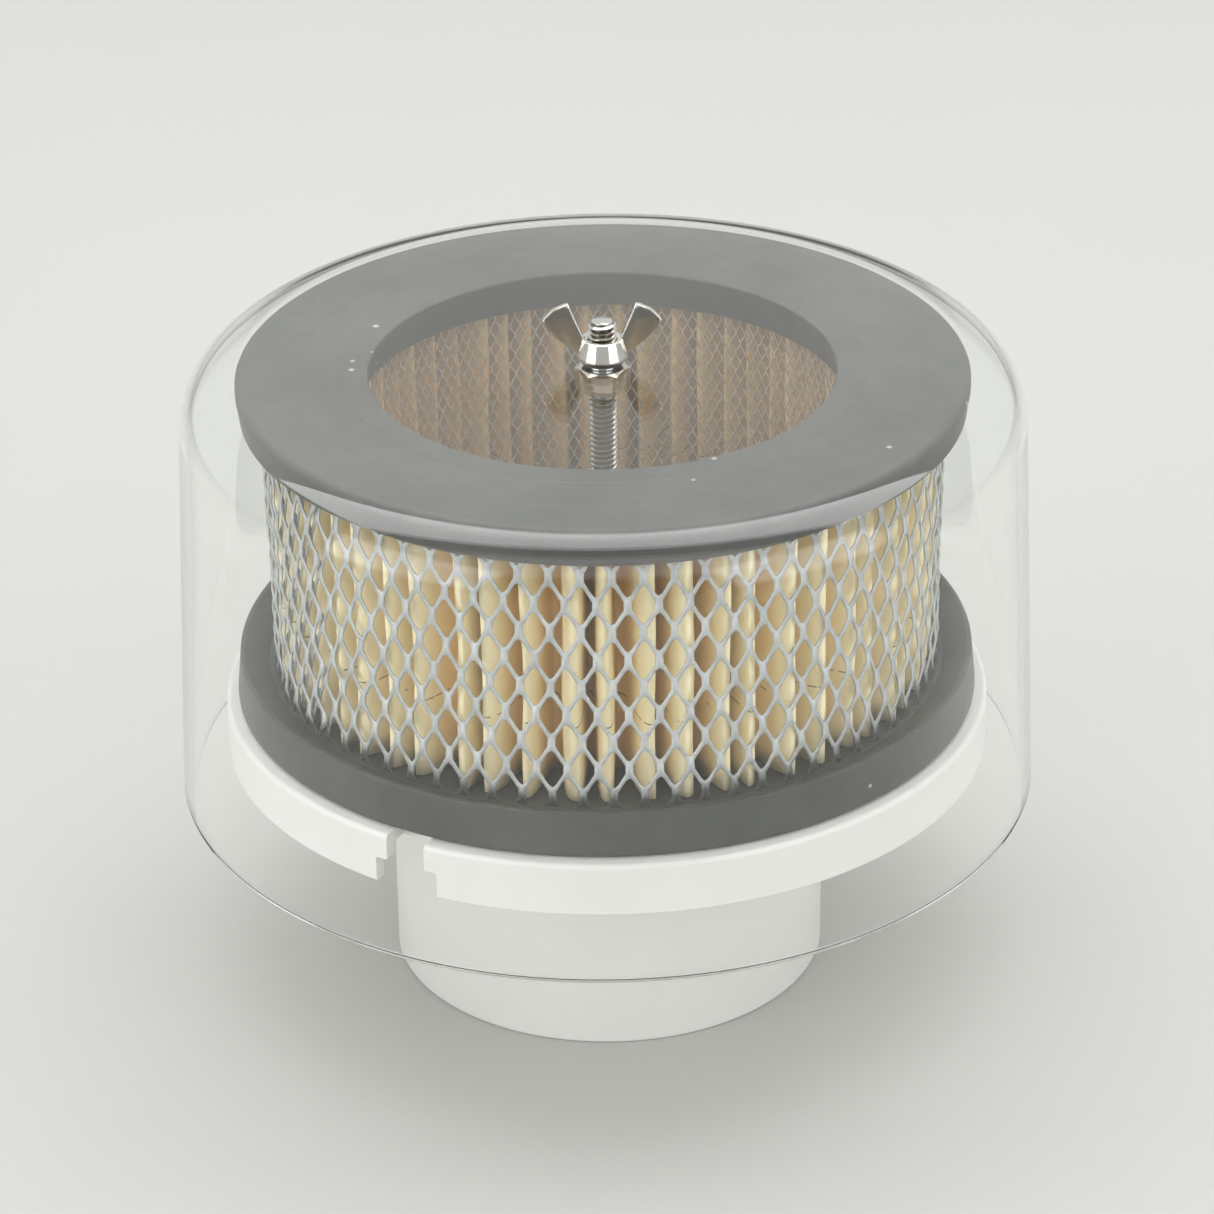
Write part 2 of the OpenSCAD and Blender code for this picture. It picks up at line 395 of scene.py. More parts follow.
# the clear bell, without a lip at its lower edge
cover = {
    "lowRadius": 100.0,
    "wall": 2.4,
    "draft": 2.3,  # degrees
    "cornerRadius": 13.0,
    "innerCorner": 11.5,
    "lowZ": 47.6,
    "topZ": 150.4,
    "holeRadius": 3.6,
    "holeRound": 0.2,
    "edgeRound": 0.3,
    "hazeScale": 25.0,
    "hazeRough": 0.02,
    "tint": (0.985, 0.992, 0.985, 1),
    "ior": 1.49,
    "lampTint": (1.0, 1.0, 1.0, 1),
}


def makeClearPlastic(look):
    material, tree, shader, where = newMaterial(
        "clearPlastic", Base_Color=look["tint"], IOR=look["ior"], Transmission_Weight=1.0, Metallic=0.0)
    link = tree.links.new
    haze = placeGroup(tree, driftGroup, where, Scale=look["hazeScale"])
    rough = node(tree, "ShaderNodeMapRange", To_Min_=0.0, To_Max_=look["hazeRough"])
    link(haze.outputs["Value"], rough.inputs["Value"])
    link(rough.outputs["Result"], shader.inputs["Roughness"])
    # light from the lamps passes straight through, so the pieces inside are lit
    lamps = tree.nodes.new("ShaderNodeLightPath")
    clear = node(tree, "ShaderNodeBsdfTransparent")
    clear.inputs["Color"].default_value = look["lampTint"]
    choose = tree.nodes.new("ShaderNodeMixShader")
    link(lamps.outputs["Is Shadow Ray"], choose.inputs[0])
    link(shader.outputs[0], choose.inputs[1])
    link(clear.outputs[0], choose.inputs[2])
    link(choose.outputs[0], tree.nodes["Material Output"].inputs["Surface"])
    return material


def makeCover(look):
    # two outlines a wall apart: a drafted side, an arc and a flat top, turned round the axis
    tilt = math.tan(math.radians(look["draft"]))
    height = look["topZ"] - look["lowZ"]
    thick = look["wall"]
    sideWall = thick / math.cos(math.radians(look["draft"]))
    low, r, hole = look["lowRadius"], look["cornerRadius"], look["holeRadius"]
    edge, holeEdge = look["edgeRound"], look["holeRound"]
    return turned("clearCover", [
        (low - sideWall, look["lowZ"], edge),
        (low, look["lowZ"], edge),
        (low - height * tilt, look["topZ"], r),
        (hole, look["topZ"], holeEdge),
        (hole, look["topZ"] - thick, holeEdge),
        (low - sideWall - (height - thick) * tilt, look["topZ"] - thick, look["innerCorner"]),
    ], steps=288, arcSteps=18)


evenNormals(place(makeCover(cover), "cover", makeClearPlastic(cover), "cover_shell"))


# the white moulding: neck, flange with a hanging rim, and a hub on four arms
base = {
    "neckRadius": 50.8,
    "neckWall": 3.2,
    "flangeZ": 71.0,
    "rimRadius": 88.8,
    "rimWall": 3.0,
    "rimHeight": 12.6,
    "notchUpper": 9.5,
    "notchLower": 15.5,
    "notchReach": 7.0,
    "notchAngle": 240.0,
    "notchRound": 0.5,
    "hubRadius": 11.0,
    "hubLow": 57.0,
    "hubHeight": 12.0,
    "armWidth": 4.0,
    "armHeight": 10.0,
    "armBite": 1.5,  # how far an arm runs into the neck's wall
    "armRound": 0.6,
    "hubRound": 0.8,
    "boreRadius": 3.3,
    "finish": {"metal": 0.0, "driftScale": 18.0,
               "colorA": (0.80, 0.805, 0.775), "colorB": (0.765, 0.77, 0.74),
               "dust": 0.02, "dustScale": 260.0, "dustSize": 0.16, "dustCover": 0.7,
               "dustColor": (0.45, 0.43, 0.38),
               "rough": (0.34, 0.42), "grainScale": 1400.0, "grainDepth": 0.000012},
}


def makeBase(look):
    # the neck, flange and rim are one outline turned round the axis. A stepped block cuts the notch, wide
    # at the rim's lower half and narrow above, and a hub on two crossed bars stands in the neck
    neck, bore = look["neckRadius"], look["neckRadius"] - look["neckWall"]
    top, rim = look["flangeZ"], look["rimRadius"]
    rimIn, under, rimLow = rim - look["rimWall"], top - look["rimWall"], top - look["rimHeight"]
    wall = turned("baseWall", [
        (bore, 0, 0.7), (neck, 0, 0.7), (neck, under, 2.0), (rimIn, under, 1.0),
        (rimIn, rimLow, 0.5), (rim, rimLow, 0.5), (rim, top, 1.2), (bore, top, 0.8),
    ], steps=240)

    beyond = 2.0  # how far a cutter stands past what it cuts
    halfU, halfL, r = look["notchUpper"] / 2, look["notchLower"] / 2, look["notchRound"]
    step = top - look["rimHeight"] / 2
    notch = extruded("notchCutter", roundedLoop([
        (-halfL, rimLow - beyond, 0), (halfL, rimLow - beyond, 0), (halfL, step, r), (halfU, step, r),
        (halfU, top + beyond, 0), (-halfU, top + beyond, 0), (-halfU, step, r), (-halfL, step, r),
    ], 3), rim - look["notchReach"], rim + beyond, along="y")
    notch.data.transform(Matrix.Rotation(math.radians(look["notchAngle"] - 90), 4, "Z"))

    hubLow, hubTop, hubR = look["hubLow"], look["hubLow"] + look["hubHeight"], look["hubRadius"]
    hub = turned("hub", [(1.0, hubLow, 0), (hubR, hubLow, look["hubRound"]),
                         (hubR, hubTop, look["hubRound"]), (1.0, hubTop, 0)], steps=96)
    half, armTop, r = look["armWidth"] / 2, hubLow + look["armHeight"], look["armRound"]
    section = roundedLoop([(-half, hubLow, r), (half, hubLow, r), (half, armTop, r), (-half, armTop, r)], 3)
    reach = bore + look["armBite"]
    arms = []
    for turn in (0, 90):
        arm = extruded("arm", section, -reach, reach, along="y")
        arm.data.transform(Matrix.Rotation(math.radians(turn), 4, "Z"))
        arms.append(arm)
    b = look["boreRadius"]
    circle = roundedLoop([(-b, -b, b - 0.01), (b, -b, b - 0.01), (b, b, b - 0.01), (-b, b, b - 0.01)], 10)
    drill = extruded("drill", circle, hubLow - beyond, hubTop + beyond)
    return combined("whiteBase", wall, [hub, *arms], [notch, drill])


whitePlastic = plainFinish("whitePlastic", base["finish"])
evenNormals(place(makeBase(base), "base", whitePlastic, "base_body"))


# the two moulded rings at the ends of the filter element
caps = {
    "topZ": 147.6,
    "topUnder": 138.5,
    "topLip": 141.3,
    "topRadius": 83.8,
    "topTaper": 0.9,
    "lowZ": 71.0,
    "lowLevel": 79.0,
    "lowLip": 82.0,
    "lowRadius": 86.2,
    "lowTaper": 1.1,
    "hole": 52.9,
    "holeFlare": 2.7,
    "screenInner": 57.0,
    "screenOuter": 78.4,
    "ringDepth": 0.14,
    "ringInner": (59.5, 60.1),
    "ringOuter": (69.4, 70.2),
    "faceRound": 1.7,
    "lipWidth": 1.0,
    "finish": {"metal": 0.0, "driftScale": 30.0,
               "colorA": (0.066, 0.069, 0.064), "colorB": (0.036, 0.039, 0.035),
               "dust": 0.08, "dustScale": 210.0, "dustSize": 0.17, "dustCover": 0.7,
               "dustColor": (0.55, 0.54, 0.5),
               "rough": (0.4, 0.52), "grainScale": 1100.0, "grainDepth": 0.00002},
}


def makeCap(name, look, face, lip, level, faceRadius, taper):
    # outline of a cap: its flat face with a shallow ring left by the mould, the tapered side, and on the
    # poured side a lip that falls to the level in which the screens and the paper stand
    way = 1 if lip > face else -1
    ring, hole, openRadius = look["ringDepth"] * way, look["hole"], faceRadius - taper
    (in1, in2), (out1, out2) = look["ringInner"], look["ringOuter"]
    return turned(name, [
        (hole, face, 0.5),
        (in1, face, 0.3), (in2, face + ring, 0.3), (out1, face + ring, 0.3), (out2, face, 0.3),
        (faceRadius, face, look["faceRound"]),
        (openRadius, lip, 0.4), (openRadius - look["lipWidth"], lip, 0.4),
        (look["screenOuter"], level, 1.0), (look["screenInner"], level, 0.6),
        (hole + look["holeFlare"], level + 0.6 * way, 0.3),
    ], steps=240, arcSteps=4, creaseAngle=50)


greyPolyurethane = plainFinish("greyPolyurethane", caps["finish"])
topCap = makeCap("topEndCap", caps, caps["topZ"], caps["topLip"], caps["topUnder"],
                 caps["topRadius"], caps["topTaper"])
evenNormals(place(topCap, "element", greyPolyurethane, "top_end_cap"))
lowCap = makeCap("bottomEndCap", caps, caps["lowZ"], caps["lowLip"], caps["lowLevel"],
                 caps["lowRadius"], caps["lowTaper"])
evenNormals(place(lowCap, "element", greyPolyurethane, "bottom_end_cap"))


# the two tubes of expanded metal, outside and inside the paper
outerScreen = {
    "radius": 77.0,
    "columns": 72,
    "firstZ": 74.8,
    "rowStep": 6.71,
    "rows": 11,
    "knuckle": (0.84, 1.0, 1.9),  # half width, height of its shoulders, half height
    "strandRows": (0.17, 0.5, 0.83),
    "waist": 0.7,
    "bow": 0.8,
    "twist": 0.3,
    "sheet": 0.35,
    "seamAngle": 201.0,
    "seamColumns": 3,
    "seamLift": 0.75,
    "seamSlip": 2.6,
    "finish": {"metal": 0.35, "driftScale": 260.0,
               "colorA": (0.58, 0.60, 0.60), "colorB": (0.42, 0.44, 0.44),
               "rough": (0.5, 0.66), "grainScale": 2200.0, "grainDepth": 0.00003,
               "smear": (80.2, 83.4), "smearDrift": 1.2, "smearTone": (0.09, 0.092, 0.088)},
}
innerScreen = {
    "radius": 57.7,
    "columns": 142,
    "firstZ": 78.0,
    "rowStep": 2.535,
    "rows": 26,
    "knuckle": (0.17, 0.25, 0.45),
    "strandRows": (),
    "twist": 0.1,
    "sheet": 0.3,
    "seamAngle": 30.0,
    "seamColumns": 0,
    "finish": {"metal": 0.2, "driftScale": 200.0,
               "colorA": (0.62, 0.56, 0.47), "colorB": (0.46, 0.41, 0.34),
               "rough": (0.55, 0.7), "grainScale": 2600.0, "grainDepth": 0.00002},
}


def makeScreen(name, look):
    # a slit and stretched sheet: knuckles stand on a staggered lattice, and from the upper two sides of each
    # a strand runs to the lower sides of its neighbours. Where it has rows of its own, a strand is narrower at
    # its waist and bowed, so the openings are almond shaped. Each knuckle leans, its top inwards and its foot
    # outwards. The flat lattice (u along, v up, w out) is then rolled into a tube: the angle is u over the
    # radius, and w is added to the radius
    halfW = full * look["radius"] / look["columns"] / 2
    halfH = look["rowStep"]
    closed = look["seamColumns"] == 0
    across = 2 * (look["columns"] + look["seamColumns"]) + (0 if closed else 1)
    i, j = np.meshgrid(np.arange(across), np.arange(look["rows"]), indexing="ij")
    kept = (i + j) % 2 == 1
    index = np.full(i.shape, -1)
    index[kept] = np.arange(kept.sum())
    i, j = i[kept], j[kept]
    # corners of a knuckle: top, upper right, lower right, foot, lower left, upper left
    a, c, b = look["knuckle"]
    tw = look["twist"]
    corner = np.array([[0, b, -tw], [a, c, -tw / 2], [a, -c, tw / 2],
                       [0, -b, tw], [-a, -c, tw / 2], [-a, c, -tw / 2]])
    size = len(corner)
    knucklePlace = np.stack([i * halfW, j * halfH, np.zeros(len(i))], 1)
    knuckles = knucklePlace[:, None] + corner[None]
    points = [knuckles.reshape(-1, 3)]
    n = np.arange(len(i)) * size
    faces = [np.stack([n, n + 5, n + 4, n + 3], 1), np.stack([n, n + 3, n + 2, n + 1], 1)]
    total = len(i) * size
    # strands: towards the upper right from corners 0 and 1, and towards the upper left from 5 and 0
    for side, near, far in ((1, (0, 1), (4, 3)), (-1, (5, 0), (3, 2))):
        i2 = (i + side) % across if closed else i + side
        ok = (i2 >= 0) & (i2 < across) & (j + 1 < look["rows"])
        me = np.flatnonzero(ok)
        other = index[i2[ok], j[ok] + 1]
        start = knuckles[me][:, near]
        end = corner[list(far)][None] + knucklePlace[me][:, None] + np.array([side * halfW, halfH, 0])
        rows = [[me * size + near[0], me * size + near[1]]]
        for t in look["strandRows"]:
            mid = start * (1 - t) + end * t
            centre = mid.mean(1, keepdims=True)
            slim = 1 - (1 - look["waist"]) * math.sin(math.pi * t) ** 0.6
            bow = (t - 0.5) * math.sin(math.pi * t) * look["bow"]
            shifted = centre + (mid - centre) * slim + np.array([-side * bow, 0, 0])
            points.append(shifted.reshape(-1, 3))
            at = total + np.arange(len(me)) * 2
            rows.append([at, at + 1])
            total += len(me) * 2
        rows.append([other * size + far[0], other * size + far[1]])
        for p, q in zip(rows[:-1], rows[1:]):
            faces.append(np.stack([p[0], p[1], q[1], q[0]], 1))
    u, v, w = np.concatenate(points).T
    angle = math.radians(look["seamAngle"]) + u / look["radius"]
    z = look["firstZ"] + v
    w = w + 0.12 * np.sin(3 * angle + 0.6) * np.sin(z * 0.09)  # a slow waviness of the sheet
    if not closed:
        # the last columns lie over the first ones, lifted off them and slipped upwards
        late = np.clip((u / halfW - 2 * look["columns"] + 1.5) / 1.5, 0, 1)
        w = w + look["seamLift"] * late
        z = z + look["seamSlip"] * late
    r = look["radius"] + w
    rolled = np.stack([r * np.cos(angle), r * np.sin(angle), z], 1)
    piece = addMesh(name, rolled, faces, creaseAngle=60, facesOut=False)
    if facesAxis(rolled, faces[0]):
        piece.data.flip_normals()
    return thickened(piece, look["sheet"])


def facesAxis(points, quads):
    # whether the normals of the first quads point against the direction away from the axis
    sample = 200
    p = points[quads[:sample]]
    normal = np.cross(p[:, 1] - p[:, 0], p[:, 2] - p[:, 0])
    return float((normal[:, :2] * p[:, 0, :2]).sum()) < 0


def thickened(piece, sheet):
    # gives a surface the thickness of a sheet, half to each side
    thick = piece.modifiers.new("sheet", "SOLIDIFY")
    thick.thickness, thick.offset = sheet * mm, 0.0
    return piece


for name, look, finishName, cadNode in (
    ("outerScreen", outerScreen, "outerSteel", "outer_screen"),
    ("innerScreen", innerScreen, "innerSteel", "inner_screen"),
):
    place(makeScreen(name, look), "element", plainFinish(finishName, look["finish"]), cadNode)


# one folded sheet of paper, with a thin broken line round it
paper = {
    "pleats": 56,
    "crestRadius": 76.1,
    "valleyRadius": 58.7,
    "lowZ": 79.3,
    "highZ": 141.2,
    "sheet": 0.45,
    "pointsPerFold": 9,
    "rows": 15,
    "crestJitter": 0.30,  # as a share of the pitch
    "crestDrop": 1.3,
    "valleyRise": 1.6,
    "flatness": 0.7,
    "hurry": 0.28,
    "sway": 0.55,
    "buckle": 0.25,
    "lineZ": 98.0,
    "lineWidth": 0.16,
    "lineTone": (0.10, 0.065, 0.035),
    "lineCover": 0.75,
    "lineWander": 2.0,
    "wanderScale": 70.0,
    "breakScale": 420.0,
    "breakShare": 0.47,
    # painted light and shade: the crest tone is the paper lit on the crests, the fold tone is the paper in
    # painted shade down in the valleys
    "litCrestTone": (0.97, 0.87, 0.58),
    "shadedFoldTone": (0.96, 0.67, 0.31),
    "foldShade": 0.93,
    "driftScale": 60.0,
    "rough": 0.85,
    "specular": 0.25,
    "grainScale": 1600.0,
    "grainDepth": 0.00004,
    "seed": 7,
}


def makePaper(look):
    # one sheet folded to and fro between two radii. Along a pleat the phase runs from 0 at a crest to pi at
    # the next valley: the radius follows a cosine made flatter at the folds by a power under one, and the angle
    # hurries a little at the folds. Crests and valleys are shifted at random, and sway sideways with height
    rng = np.random.default_rng(look["seed"])
    count, perHalf, rows = look["pleats"], look["pointsPerFold"], look["rows"]
    pitch = full / count
    crest = np.arange(count) * pitch + rng.uniform(-1, 1, count) * look["crestJitter"] * pitch
    valley = (np.arange(count) + 0.5) * pitch + rng.uniform(-1, 1, count) * look["crestJitter"] * 0.6 * pitch
    folds = np.stack([crest, valley], 1).ravel()
    crestR = look["crestRadius"] - rng.uniform(0, look["crestDrop"], count)
    valleyR = look["valleyRadius"] + rng.uniform(0, look["valleyRise"], count)
    radii = np.stack([crestR, valleyR], 1).ravel()
    swayPhase = rng.uniform(0, full, 2 * count)
    swaySize = rng.uniform(0.3, 1.0, 2 * count) * look["sway"] / look["crestRadius"]

    t = np.arange(perHalf) / perHalf * math.pi
    flatCos = np.sign(np.cos(t)) * np.abs(np.cos(t)) ** look["flatness"]
    share = (t + look["hurry"] * np.sin(2 * t) / 2) / math.pi
    z = np.linspace(look["lowZ"], look["highZ"], rows)
    height = (z - look["lowZ"]) / (look["highZ"] - look["lowZ"])
    bow = np.sin(math.pi * height)
    wave = np.sin(2.2 * math.pi * height[:, None] + swayPhase[None])
    swayed = folds[None] + swaySize[None] * bow[:, None] * wave
    nextFold = np.roll(swayed, -1, 1)
    nextFold[:, -1] += full
    nextRadius = np.roll(radii, -1)
    angle = swayed[:, :, None] + (nextFold - swayed)[:, :, None] * share
    radius = (radii + nextRadius)[None, :, None] / 2 + (radii - nextRadius)[None, :, None] / 2 * flatCos
    dent = np.sin(5 * height[:, None, None] + swayPhase[None, :, None]) ** 2
    radius = radius - look["buckle"] * bow[:, None, None] * dent

    around = 2 * count * perHalf
    angle = angle.reshape(rows, around)
    radius = np.broadcast_to(radius, (rows, 2 * count, perHalf)).reshape(rows, around)
    points = np.stack([radius * np.cos(angle), radius * np.sin(angle), np.repeat(z[:, None], around, 1)], -1)
    faces = gridFaces(rows, around, False, True)
    piece = addMesh("pleatedPaper", points.reshape(-1, 3), [faces], creaseAngle=80, facesOut=False)
    return thickened(piece, look["sheet"])


def makePaperFinish(look):
    # painted light and shade: lighter towards the crests and darker down in the valleys, where shade falls
    # between the pleats, with a fine grain
    material, tree, shader, where = newMaterial(
        "filterPaper", Roughness=look["rough"], Specular_IOR_Level=look["specular"])
    link = tree.links.new
    split = tree.nodes.new("ShaderNodeSeparateXYZ")
    link(where, split.inputs[0])
    crestLightMask = fromAxis(tree, where, look["valleyRadius"], look["crestRadius"])
    shaded = [v * look["foldShade"] for v in look["shadedFoldTone"]]
    tone = placeGroup(tree, driftGroup, where, Scale=look["driftScale"],
                      Color_A=(*look["shadedFoldTone"], 1), Color_B=(*shaded, 1))
    # painted shade in the valleys grading to painted light on the crests, by the distance from the axis
    color = mixColor(tree, crestLightMask, tone.outputs["Color"], (*look["litCrestTone"], 1))
    # a thin broken line round the sheet: close to its height, where a fine noise is high enough
    rise = node(tree, "ShaderNodeTexNoise", Scale_=look["wanderScale"], Detail_=1.0)
    link(where, rise.inputs["Vector"])
    middle = mathNode(tree, "SUBTRACT", rise.outputs["Fac"], 0.5)
    offset = mathNode(tree, "MULTIPLY", middle, look["lineWander"] * mm)
    wandering = mathNode(tree, "ADD", split.outputs["Z"], offset)
    gap = mathNode(tree, "ABSOLUTE", mathNode(tree, "SUBTRACT", wandering, look["lineZ"] * mm))
    line = mathNode(tree, "LESS_THAN", gap, look["lineWidth"] * mm)
    breaks = node(tree, "ShaderNodeTexNoise", Scale_=look["breakScale"], Detail_=2.0)
    link(where, breaks.inputs["Vector"])
    drawn = mathNode(tree, "GREATER_THAN", breaks.outputs["Fac"], look["breakShare"])
    line = mathNode(tree, "MULTIPLY", line, drawn)
    inked = mathNode(tree, "MULTIPLY", line, look["lineCover"])
    color = mixColor(tree, inked, color, (*look["lineTone"], 1))
    link(color, shader.inputs["Base Color"])
    grain = placeGroup(tree, grainGroup, where, Scale=look["grainScale"], Depth=look["grainDepth"])
    link(grain.outputs["Normal"], shader.inputs["Normal"])
    return material


place(makePaper(paper), "element", makePaperFinish(paper), "pleated_media")


# stud, hex nuts and washers
hardware = {
    "studRadius": 3.175,
    "studLow": 46.1,
    "studTop": 160.4,
    "pitch": 1.27,
    "threadDepth": 0.72,
    # the thread's section: share of the pitch, share of the depth
    "profile": ((0.0, 0), (0.16, 0), (0.44, 1), (0.56, 1), (0.84, 0)),
    "endStep": 0.1,
    "endCone": 1.2,
    "nutHeight": 5.5,
    "nutAcross": 11.1,
    "nutFace": 0.95,  # the round face's share of the width across flats
    "nutChamfer": 0.5,
    "cornerSlope": 30.0,  # degrees
    "washerRadius": 8.0,
    "washerHeight": 1.2,
    "washerRound": 0.2,
    "clearance": 0.03,
    "stopTop": 147.85,
    "finish": {"metal": 1.0, "driftScale": 70.0,
               "colorA": (0.80, 0.79, 0.755), "colorB": (0.70, 0.69, 0.655),
               "rough": (0.14, 0.24), "grainScale": 1500.0, "grainDepth": 0.000004,
               # painted shade in the thread's roots: darker inside the radii given by root, except on the end
               # face
               "root": (2.5, 3.0), "rootShadeTone": (0.26, 0.25, 0.22), "endZ": 160.4},
}


def makeStud(look):
    # rows of points follow the helix: the height is the row's own plus a pitch for each turn of the angle, and
    # the radius steps between root and crest. Both ends are cut flat, and a cone takes the thread down to them
    around, profile = 28, np.array(look["profile"])
    low, top, pitch = look["studLow"], look["studTop"], look["pitch"]
    turns = int(math.ceil((top - low) / pitch)) + 2
    rowZ = ((np.arange(turns)[:, None] + profile[:, 0]) * pitch).ravel() + low - pitch
    rowR = np.tile(profile[:, 1], turns)
    share = np.arange(around) / around
    z = np.clip(rowZ[:, None] + share[None] * pitch, low, top)
    endRadius = look["studRadius"] - look["threadDepth"] - look["endStep"]
    cone = endRadius + np.minimum(z - low, top - z) * look["endCone"]
    r = np.minimum(look["studRadius"] - look["threadDepth"] * (1 - rowR[:, None]), cone)
    a = share * full
    rows = len(rowZ)
    points = np.stack([r * np.cos(a), r * np.sin(a), z], -1).reshape(-1, 3)
    # the last column joins the first one a whole turn further up
    i, j = np.meshgrid(np.arange(rows - 1), np.arange(around), indexing="ij")
    wrap = (j == around - 1) * len(profile)
    i2, j2 = i + wrap, (j + 1) % around
    ok = i2 + 1 < rows
    i, j, i2, j2 = i[ok], j[ok], i2[ok], j2[ok]
    here, further = i * around + j, i2 * around + j2
    faces = np.stack([here, further, further + around, here + around], 1)
    foot = np.arange(around)
    lids = [foot[::-1][None], foot[None] + (rows - 1) * around]
    return welded(addMesh("threadedStud", points, [faces, *lids]))


def makeHexNut(name, look, low):
    # rings round the nut: bore, chamfer, flat, and a hexagon whose corners are turned off by a cone. The
    # hexagon's radius is half its width over the cosine of the angle from the nearest flat's middle
    around = 72
    a = np.arange(around) * full / around
    across = look["nutAcross"] / 2
    hexR = across / np.cos(np.mod(a, math.pi / 3) - math.pi / 6)
    bore, top, cut = look["studRadius"] + look["clearance"], low + look["nutHeight"], look["nutChamfer"]
    flat = across * look["nutFace"]
    slope = (hexR - flat) * math.tan(math.radians(look["cornerSlope"]))
    rings = [(bore, low + cut), (bore + cut, low), (flat, low), (hexR, low + slope),
             (hexR, top - slope), (flat, top), (bore + cut, top), (bore, top - cut)]
    r = np.stack([k[0] * np.ones(around) for k in rings], 1)
    z = np.stack([k[1] * np.ones(around) for k in rings], 1)
    points = np.stack([r * np.cos(a)[:, None], r * np.sin(a)[:, None], z], -1).reshape(-1, 3)
    return addMesh(name, points, [gridFaces(around, len(rings), True, True)], creaseAngle=20)


def makeWasher(name, inner, outer, low, high, edge):
    # a ring with a rounded rectangle as its section
    section = [(inner, low, edge), (outer, low, edge), (outer, high, edge), (inner, high, edge)]
    return turned(name, section, steps=96, arcSteps=3)


zincSteel = plainFinish("zincSteel", hardware["finish"])
place(makeStud(hardware), "base", zincSteel, "stud")
hubLow, hubTop = base["hubLow"], base["hubLow"] + base["hubHeight"]
washerIn, washerOut = hardware["studRadius"] + hardware["clearance"], hardware["washerRadius"]
nutHigh, washerHigh, washerEdge = hardware["nutHeight"], hardware["washerHeight"], hardware["washerRound"]
for name, cadNode, low in (
    ("hubNutLower", "hub_nut_lower", hubLow - washerHigh - nutHigh),
    ("hubNutUpper", "hub_nut_upper", hubTop + washerHigh),
    ("stopNut", "stop_nut", hardware["stopTop"] - nutHigh),
):
    evenNormals(place(makeHexNut(name, hardware, low), "base", zincSteel, cadNode))
for name, cadNode, low in (
    ("hubWasherLower", "hub_washer_lower", hubLow - washerHigh),
    ("hubWasherUpper", "hub_washer_upper", hubTop),
):
    washer = makeWasher(name, washerIn, washerOut, low, low + washerHigh, washerEdge)
    evenNormals(place(washer, "base", zincSteel, cadNode))


# wing nut: a turned boss with two bent-up wings
wingNut = {
    "seatZ": 151.2,
    "bore": 3.225,
    "bossFoot": 5.15,
    "bossEdge": 5.9,
    "bossEdgeZ": 0.9,
    "bossTop": 4.7,
    "bossHeight": 5.1,
    "boreChamfer": 0.5,
    # the wings' edge curves, inner and outer, as distance from the axis and height over the seat
    "rootIn": (3.7, 4.4), "innerPull": (5.6, 8.4), "tipIn": (7.5, 13.3),
    "rootOut": (4.4, 0.9), "outerPull": (10.5, 4.2), "tipOut": (13.4, 9.2),
    "tipBulge": 0.85,
    "tipShrink": (0.93, 0.72, 0.0),
    "tipLift": (0.1, 0.19, 0.22),
    "squareWide": 0.22,
    "squareDeep": 0.2,
    "wingThick": (2.1, 1.6),
    "finish": {"metal": 1.0, "driftScale": 90.0,
               "colorA": (0.84, 0.825, 0.78), "colorB": (0.76, 0.745, 0.70),
               "rough": (0.07, 0.14), "grainScale": 700.0, "grainDepth": 0.000004},
}


def pulledCurve(start, pull, end, t):
    # from start to end, drawn towards pull: the three weighted by (1 - t) squared, 2 t (1 - t) and t squared
    a, b, c = (np.array(p)[None] for p in (start, pull, end))
    t = t[:, None]
    return a * (1 - t) ** 2 + 2 * b * t * (1 - t) + c * t * t


def makeWing(look, side):
    # sections from root to tip, each a squared-off oval between the inner and the outer edge curve, its cosine
    # and sine raised to a small power. The last ones keep their place, get thinner and close over the tip
    along, around = 15, 24
    s = np.linspace(0, 1, along)
    inner = pulledCurve(look["rootIn"], look["innerPull"], look["tipIn"], s)
    outer = pulledCurve(look["rootOut"], look["outerPull"], look["tipOut"], s)
    thick = np.interp(s, [0, 1], look["wingThick"]) / 2
    closing = len(look["tipShrink"])
    inner = np.concatenate([inner, inner[-1:].repeat(closing, 0)])
    outer = np.concatenate([outer, outer[-1:].repeat(closing, 0)])
    thick = np.concatenate([thick, thick[-1] * np.array(look["tipShrink"])])
    lift = np.concatenate([np.zeros(along), look["tipLift"]])
    s = np.concatenate([s, np.ones(closing)])
    b = np.arange(around) * full / around
    wide = np.sign(np.cos(b)) * np.abs(np.cos(b)) ** look["squareWide"]
    deep = np.sign(np.sin(b)) * np.abs(np.sin(b)) ** look["squareDeep"]
    centre, reach = (inner + outer) / 2, (outer - inner) / 2
    ahead = np.array([-1.0, 1.0]) * reach[:, ::-1] / np.linalg.norm(reach, axis=1, keepdims=True)
    bulge = look["tipBulge"] * s[:, None] * (1 - wide[None] ** 2) + lift[:, None]
    xz = centre[:, None] + reach[:, None] * wide[None, :, None] + ahead[:, None] * bulge[..., None]
    y = thick[:, None] * deep[None]
    points = np.stack([side * xz[..., 0], y, look["seatZ"] + xz[..., 1]], -1).reshape(-1, 3)
    root = np.arange(around)
    return welded(addMesh("wing", points, [gridFaces(len(s), around, False, True), root[::-1][None]]))


def makeWingNut(look):
    # the boss is a slanted foot, a cone and a chamfered bore turned round the axis, joined with both wings
    bore, seat, cut = look["bore"], look["seatZ"], look["boreChamfer"]
    top = seat + look["bossHeight"]
    boss = turned("boss", [
        (bore, seat, 0.2), (look["bossFoot"], seat, 0.2),
        (look["bossEdge"], seat + look["bossEdgeZ"], 0.35), (look["bossTop"], top, 0.5),
        (bore + cut, top, 0.1), (bore, top - cut, 0.1),
    ], steps=96)
    return combined("wingNut", boss, [makeWing(look, 1), makeWing(look, -1)])


nickelPlate = plainFinish("nickelPlate", wingNut["finish"])
evenNormals(place(makeWingNut(wingNut), "wing_nut", nickelPlate, "wing_nut"))

